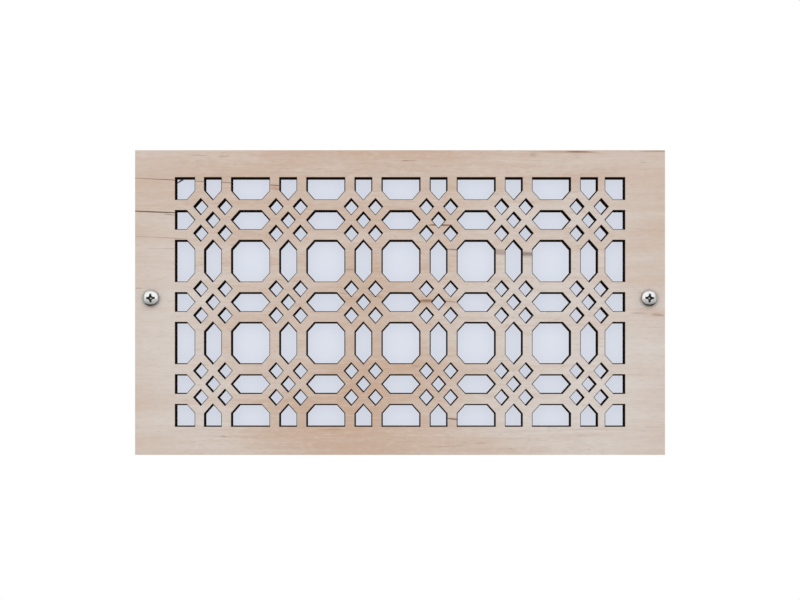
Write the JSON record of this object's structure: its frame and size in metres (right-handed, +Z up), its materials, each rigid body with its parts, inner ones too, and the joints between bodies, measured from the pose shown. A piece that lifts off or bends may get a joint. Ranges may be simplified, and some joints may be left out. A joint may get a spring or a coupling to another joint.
{
  "type": "sidewall vent grille",
  "caption": "Flat rectangular plywood wall vent grille, pierced all over with an octagon, hexagon and diamond fretwork, fixed by a pan-head screw at each end.",
  "frame": {"origin": "on the wall plane (the panel's back face), midway between the axes of the two screws", "axes": "+X along the panel's length, +Y into the wall, +Z up; the pierced front faces -Y"},
  "size_m": [0.254, 0.0283, 0.146],
  "materials": {
    "maple_plywood": "bare sanded maple veneer, charred cut walls",
    "plated_steel": "bright plated steel"
  },
  "bodies": {
    "root": {"grille_panel": "maple_plywood", "mounting_screws": "plated_steel"}
  },
  "joints": []
}
